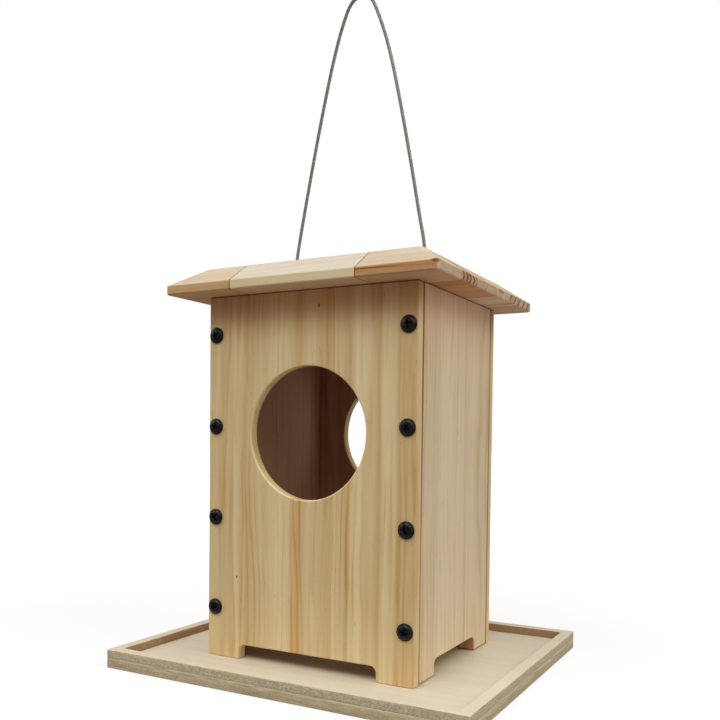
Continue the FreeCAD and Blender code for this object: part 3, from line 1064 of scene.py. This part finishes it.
KNOT_STAIN = (0.42, 0.25, 0.16, 1.0)
TINGE = (0.58, 0.60, 0.34, 1.0)


def from_hole(finish, place):
    """How far from the round hole's axis."""
    return finish.reach(place[X], 0.0, place[Z] - HOLE_HEIGHT)


def hole_wall_light(finish, place):
    """Painted light: the round hole's wall made paler."""
    past = finish.band(from_hole(finish, place), HOLE_RADIUS + 0.1, HOLE_RADIUS + 0.4)
    return 1.0 - past, HOLE_WALL_LIGHT


def hole_arris_highlight(finish, place):
    """A painted highlight on the hole's front corner, a thin pale ring."""
    away = abs(from_hole(finish, place) - (HOLE_RADIUS + 0.3))
    near = 1.0 - finish.band(away, 0.3, 0.6)
    return near * finish.band(abs(place[Y]), TOWER_FACE - 1.3, TOWER_FACE - 0.6), HOLE_ARRIS_HIGHLIGHT


def below_bevels(finish, place):
    return 1.0 - finish.band(place[Z], BEVEL_FOOT - 0.3, BEVEL_FOOT + 0.3)


def upright_edge(tint):
    """A tint on a roof board's front and back edges, below its bevels."""
    def touch(finish, place):
        edge = finish.band(abs(place[Y]), ROOF_EDGE - 1.1, ROOF_EDGE - 0.5)
        return edge * below_bevels(finish, place), tint
    return touch


def upright_end(finish, place):
    """The roof's two ends, below its bevels."""
    end = finish.band(abs(place[X]), ROOF_END - 0.6, ROOF_END)
    return end * below_bevels(finish, place), END_EDGE


def underside(finish, place):
    """The roof's flat underside, tinted redder as painted shade."""
    return 1.0 - finish.band(place[Z], TOWER_TOP + 0.1, TOWER_TOP + 0.4), UNDERSIDE_SHADE


def resin_streak(finish, place):
    """A dark pocket of resin along the right board's front edge."""
    wave = finish.noise(finish.join(place[X] * 0.05, 0.0, 0.0), 1.0, 2.0, 0.5, 90.0)
    away = abs(place[Z] - RESIN_HEIGHT - (wave - 0.5) * 1.6)
    front = 1.0 - finish.band(place[Y], 0.2 - ROOF_EDGE, 0.5 - ROOF_EDGE)
    run = 1.0 - finish.band(place[X], 60.0, 84.0)
    return (1.0 - finish.band(away, 0.1, 0.75)) * front * run, RESIN


def amber_edge(finish, place):
    """The right board's front edge, deep orange where the heartwood comes through."""
    front = 1.0 - finish.band(place[Y], 0.2 - ROOF_EDGE, 0.7 - ROOF_EDGE)
    return front * finish.band(place[Z], TOWER_TOP + 1.0, TOWER_TOP + 3.5), AMBER


def under_roof(finish, place):
    """A painted shadow for the gap between the panels' tops and the roof, on their outer faces."""
    gap = finish.band(place[Z], TOWER_TOP - 0.95, TOWER_TOP - 0.55)
    return gap * (1.0 - finish.band(finish.facing(Z), 0.5, 0.9)), GAP_SHADOW


def shaded_top(finish, place):
    """Painted shade: wood a little redder and darker under the roof."""
    return finish.band(place[Z], TOWER_TOP - 33.5, TOWER_TOP - 0.5), ROOF_SHADE


def shaded_side(finish, place):
    """The same painted shade on the side panels, fainter and longer."""
    return finish.band(place[Z], TOWER_TOP - 51.5, TOWER_TOP - 0.5), SIDE_ROOF_SHADE


def side_line(finish, place):
    """The joint down each upright edge of a side panel, fainter towards its foot."""
    outer = finish.band(abs(place[X]), TOWER_SIDE - 1.0, TOWER_SIDE - 0.3)
    edge = finish.band(abs(place[Y]), SIDE_PANEL_EDGE - 1.7, SIDE_PANEL_EDGE - 0.5)
    line_strength = 0.45 + 0.55 * finish.band(place[Z], 70.0, 190.0)
    return outer * edge * line_strength, SIDE_JOINT


def foot_wall(finish, place):
    """Painted shade on the cut walls beside a side panel's feet, under the tower."""
    low = 1.0 - finish.band(place[Z], ABOVE_FEET - 1.0, ABOVE_FEET + 1.0)
    return low * finish.band(abs(finish.facing(Y)), 0.6, 0.9), FOOT_SHADE


def edge_strip(finish, place):
    """The upright edges of the front and back panels, paler than their faces."""
    return finish.band(abs(place[X]), TOWER_SIDE - 0.2, TOWER_SIDE - 0.05), PALE_EDGE


def edge_line(finish, place):
    """The dark joint along those edges, where they meet the side panels."""
    strip, _ = edge_strip(finish, place)
    joint = 1.0 - finish.band(abs(place[Y]), SIDE_PANEL_EDGE + 0.4, SIDE_PANEL_EDGE + 1.4)
    return strip * joint, EDGE_JOINT


def end_rings(finish, place):
    """Tight dark rings on the cut end of the roof's right board."""
    cut = finish.band(finish.facing(X), 0.75, 0.95)
    y, z = place[Y], place[Z]
    ragged = finish.noise(finish.join(y, z, 0.0), 0.35, 2.0, 0.6, 95.0) * 2.2
    tight = ((y + abs(z - 244.6) * 1.1 + ragged) / 5.4).math("FRACT")
    tight = finish.band(tight, 0.45, 0.60) * (1.0 - finish.band(tight, 0.80, 0.95))
    tight = tight * finish.band(y, -52.0, -49.0) * (1.0 - finish.band(y, -29.0, -24.0))
    wide = ((y - z * 1.1 + ragged * 0.6) / 9.5).math("FRACT")
    wide = finish.band(wide, 0.42, 0.62) * (1.0 - finish.band(wide, 0.74, 0.86))
    wide = wide * finish.band(y, 30.0, 40.0)
    return cut * (tight + wide * 0.8), END_RINGS


def pale_stave_and_light(finish, place):
    """The right board's hindmost stave underneath, paler and pinker: partly paler wood, partly
    painted light.
    """
    below, _ = underside(finish, place)
    return below * finish.band(place[Y], HIND_STAVE - 0.2, HIND_STAVE + 0.2), PALE_STAVE_AND_LIGHT


def corner_knot(finish, place):
    """A small dark knot at the right board's front corner."""
    x, y, z = CORNER_KNOT
    reach = finish.reach(place[X] - x, (place[Y] - y) * 0.6, (place[Z] - z) * 1.6)
    return 1.0 - finish.band(reach, 1.2, 3.2), KNOT_STAIN


def green_tinge(finish, place):
    """A small greenish mark by a knot on the right board's end."""
    x, y, z = TINGE_PLACE
    reach = finish.reach((place[Y] - y) / 5.5, (place[Z] - z) * 0.9, (place[X] - x) * 0.3)
    return 1.0 - finish.band(reach, 0.5, 1.4), TINGE


class FEEDER_OT_tower_wood(bpy.types.Operator):
    """Give the tower's panels and blocks their pine"""

    bl_idname = "feeder.tower_wood"
    bl_label = "Tower wood"

    def execute(self, context):
        c = context.scene.feeder_colours
        for index, side in enumerate(("front", "back")):
            coat(f"{side}_panel", pine(
                f"pine_{side}", c.face_pale, c.face_dark, (X, Y, Z), FACE,
                pith=-120.0, ring=3.6, contrast=0.85, seed=11.0 * index,
                touches=(
                    # Painted shade inside, at the top and in the gap under the roof; painted light on
                    # the hole's wall and front corner.
                    shade_inside(Y, 57.0, FAR_INNER_SHADE), hole_wall_light, hole_arris_highlight, edge_strip, edge_line,
                    shaded_top, under_roof, end_grain(Z, ENDS),
                ),
            ), ease=0.35 * MM)
        for index, side in enumerate(("right", "left")):
            coat(f"side_panel_{side}", pine(
                f"pine_side_{side}", c.side_pale, c.side_dark, (Y, X, Z), SIDE,
                pith=-180.0, ring=1.9, contrast=0.85, seed=21.0 + 5 * index,
                touches=(
                    # Painted shade inside, at the top and on the walls by the feet, and a painted
                    # shadow in the roof's gap.
                    shade_inside(X, 64.0, INNER_SHADE), side_line, shaded_side, under_roof, foot_wall,
                    # A painted shadow of the gap under the panel's foot.
                    line_at(Z, TRAY_TOP, 0.7),
                ),
            ), ease=0.35 * MM)
            coat(f"cable_block_{side}", pine(
                f"pine_block_{side}", c.face_pale, c.face_dark, (X, Z, Y),
                PLAIN, pith=60.0, ring=2.2, seed=31.0 + 5 * index,
            ))
        return {"FINISHED"}


class FEEDER_OT_roof_wood(bpy.types.Operator):
    """Give the roof's three boards and its battens their pine"""

    bl_idname = "feeder.roof_wood"
    bl_label = "Roof wood"

    def execute(self, context):
        c = context.scene.feeder_colours
        seam = line_at(X, ROOF_SEAM, 0.5)
        # The roof's underside is tinted redder as painted shade.
        shared = (seam, upright_end, underside)
        boards = (
            ("left", c.tan_pale, c.tan_dark, LEFT_BOARD, 41.0, 0.9,
             shared + (upright_edge(LEFT_EDGE),)),
            ("centre", c.cream_pale, c.cream_dark, CENTRE_BOARD, 47.0, 0.7,
             shared + (upright_edge(CENTRE_EDGE),)),
            ("right", c.orange_pale, c.orange_dark, RIGHT_BOARD, 53.0, 0.9,
             # The hind stave's underside is made paler: partly paler wood, partly painted light.
             shared + (upright_edge(RIGHT_EDGE), amber_edge, resin_streak, end_rings,
                       pale_stave_and_light, corner_knot, green_tinge)),
        )
        for side, pale, dark, board, seed, contrast, touches in boards:
            coat(f"roof_board_{side}", pine(
                f"pine_roof_{side}", pale, dark, (Y, Z, X), board, pith=210.0,
                ring=3.2, contrast=contrast, seed=seed, touches=touches,
            ), ease=0.8 * MM)
        for index, side in enumerate(("front", "back")):
            coat(f"roof_batten_{side}", pine(
                f"pine_batten_{side}", c.tan_pale, c.tan_dark, (Y, Z, X),
                PLAIN, pith=160.0, ring=2.4, seed=61.0 + index,
            ))
        return {"FINISHED"}


class FEEDER_OT_tray_wood(bpy.types.Operator):
    """Give the tray's base and rim strips their plywood"""

    bl_idname = "feeder.tray_wood"
    bl_label = "Tray plywood"

    def execute(self, context):
        c = context.scene.feeder_colours
        # The base gets painted shade under the tower, and each rim strip on its inner wall.
        coat("tray_base", plywood(
            "plywood_base", c.ply_face, c.ply_edge, 71.0, shaded_patch=(72.0, 60.0),
        ))
        for index, side in enumerate(("front", "back", "left", "right")):
            node = f"tray_rim_{side}"
            low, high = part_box(node)
            axis = Y if side in ("front", "back") else X
            wall = min(abs(low[axis]), abs(high[axis])) / MM
            coat(node, plywood(
                f"plywood_rim_{side}", c.ply_face, c.ply_edge, 73.0 + 2 * index,
                inner=(axis, wall),
            ), ease=0.4 * MM)
        return {"FINISHED"}


# ---------------------------------------------------------------- studio

# Name, azimuth and elevation in degrees, size in metres and power in watts.
SOFTBOXES = (
    ("front_softbox", (0.0, 50.0), 1.0, 12.5),
    ("camera_softbox", (30.0, 38.0), 1.0, 10.4),
    ("side_softbox", (90.0, 40.0), 1.2, 18.5),
    ("low_side_softbox", (75.0, 18.0), 1.4, 9.0),
    ("high_left_softbox", (-30.0, 62.0), 1.2, 16.0),
    ("left_softbox", (-60.0, 25.0), 1.4, 10.5),
    ("top_softbox", (0.0, 88.0), 1.0, 6.5),
    ("back_softbox", (180.0, 60.0), 1.2, 10.4),
)
LIGHT_DISTANCE = 3.0
LIGHT_AIM = Vector((0.0, 0.0, 0.14))

# A low light for the underside of the roof's right end: place and aim, size in metres and power
# in watts.
REFLECTOR = (Vector((0.50, 0.30, 0.02)), Vector((0.09, 0.03, 0.24)), 0.3, 0.35)

FLOOR_RADIUS = 8.0
FLOOR_DROP = 0.0002  # keeps the floor just below the tray


class FEEDER_OT_studio(bpy.types.Operator):
    """Make the camera, the softboxes, the white room and the pale floor"""

    bl_idname = "feeder.studio"
    bl_label = "Studio"

    def execute(self, context):
        studio = context.scene.feeder_studio
        camera = bpy.data.objects.new("camera", bpy.data.cameras.new("camera"))
        context.collection.objects.link(camera)
        camera.data.sensor_width = 36.0
        camera.data.lens = studio.lens
        camera.data.shift_y = studio.rise
        camera.data.clip_start, camera.data.clip_end = 0.01, 100.0
        camera.matrix_world = (
            Matrix.Translation(studio.camera_place)
            @ Matrix.Rotation(studio.camera_yaw, 4, "Z")
            @ Matrix.Rotation(math.pi / 2 + studio.camera_pitch, 4, "X")
            @ Matrix.Rotation(studio.camera_roll, 4, "Z")
        )
        context.scene.camera = camera
        context.scene.view_settings.view_transform = "Standard"

        for name, direction, size, watts in SOFTBOXES:
            softbox(name, direction, size, watts * studio.light)
        area_light("low_reflector", *REFLECTOR)
        self.make_room(context, studio)
        self.make_floor(studio)
        return {"FINISHED"}

    def make_room(self, context, studio):
        world = bpy.data.worlds.new("white_room")
        context.scene.world = world
        world.use_nodes = True
        tree = world.node_tree
        light = tree.nodes["Background"]
        seen = tree.nodes.new("ShaderNodeBackground")
        seen.inputs["Color"].default_value = (1, 1, 1, 1)
        light.inputs["Color"].default_value = studio.surround_colour
        light.inputs["Strength"].default_value = studio.surround
        rays = tree.nodes.new("ShaderNodeLightPath")
        choice = tree.nodes.new("ShaderNodeMixShader")
        tree.links.new(rays.outputs["Is Camera Ray"], choice.inputs[0])
        tree.links.new(light.outputs[0], choice.inputs[1])
        tree.links.new(seen.outputs[0], choice.inputs[2])
        tree.links.new(choice.outputs[0], tree.nodes["World Output"].inputs[0])

    def make_floor(self, studio):
        deselect()
        bpy.ops.mesh.primitive_circle_add(
            vertices=96, radius=FLOOR_RADIUS, fill_type="NGON", location=(0, 0, -FLOOR_DROP),
        )
        floor = bpy.context.object
        floor.name = "floor"
        settle(floor)
        finish = Finish("floor_white")
        distance = finish.node(
            "ShaderNodeVectorMath", {"operation": "LENGTH"},
            (finish.node("ShaderNodeTexCoord", output="Object"),), output="Value",
        )
        far = finish.band(distance, 0.25, 0.9)

        # Only the camera sees the glow, so it lights nothing.
        seen = finish.node("ShaderNodeLightPath", output="Is Camera Ray")
        finish.set(
            Base_Color=studio.floor_pale, Roughness=0.9, Specular_IOR_Level=0.0,
            Emission_Color=times(finish, (1, 1, 1, 1), seen * (0.78 + 0.3 * far)),
            Emission_Strength=1.0,
        )
        finish_with(floor, finish.material)


def softbox(name, direction, size, watts):
    """A square area light at an azimuth and elevation in degrees from what it lights."""
    azimuth, elevation = (math.radians(angle) for angle in direction)
    back = Vector((math.sin(azimuth) * math.cos(elevation),
                   -math.cos(azimuth) * math.cos(elevation), math.sin(elevation)))
    area_light(name, LIGHT_AIM + back * LIGHT_DISTANCE, LIGHT_AIM, size, watts)


def area_light(name, place, aim, size, watts):
    light = bpy.data.lights.new(name, "AREA")
    light.shape = "SQUARE"
    light.size = size
    light.energy = watts
    lamp = bpy.data.objects.new(name, light)
    bpy.context.collection.objects.link(lamp)
    lamp.location = place
    lamp.rotation_euler = (aim - place).to_track_quat("-Z", "Y").to_euler()


# ---------------------------------------------------------------- add-on

class FEEDER_PT_panel(bpy.types.Panel):
    """Every piece and finish of the feeder, with its sizes and colours"""

    bl_idname = "FEEDER_PT_panel"
    bl_label = "Bird feeder"
    bl_space_type = "VIEW_3D"
    bl_region_type = "UI"
    bl_category = "Feeder"

    def draw(self, context):
        for operator in OPERATORS:
            self.layout.operator(operator.bl_idname)
        for group in ("feeder_sizes", "feeder_colours", "feeder_studio"):
            values = getattr(context.scene, group)
            box = self.layout.box()
            for key in values.__annotations__:
                box.prop(values, key)


OPERATORS = (
    FEEDER_OT_studio,
    FEEDER_OT_cable,
    FEEDER_OT_panel_screws,
    FEEDER_OT_sunk_screws,
    FEEDER_OT_tower_wood,
    FEEDER_OT_roof_wood,
    FEEDER_OT_tray_wood,
)
GROUPS = {
    "feeder_sizes": FeederSizes,
    "feeder_colours": FeederColours,
    "feeder_studio": FeederStudio,
}


def register():
    for group in GROUPS.values():
        bpy.utils.register_class(group)
    for name, group in GROUPS.items():
        setattr(bpy.types.Scene, name, bpy.props.PointerProperty(type=group))
    for operator in OPERATORS:
        bpy.utils.register_class(operator)
    bpy.utils.register_class(FEEDER_PT_panel)


def unregister():
    bpy.utils.unregister_class(FEEDER_PT_panel)
    for operator in reversed(OPERATORS):
        bpy.utils.unregister_class(operator)
    for name in GROUPS:
        delattr(bpy.types.Scene, name)
    for group in reversed(GROUPS.values()):
        bpy.utils.unregister_class(group)


def main():
    register()
    bpy.ops.feeder.studio()
    bpy.ops.feeder.cable()
    bpy.ops.feeder.panel_screws()
    bpy.ops.feeder.sunk_screws()
    bpy.ops.feeder.tower_wood()
    bpy.ops.feeder.roof_wood()
    bpy.ops.feeder.tray_wood()


if __name__ == "__main__":
    main()
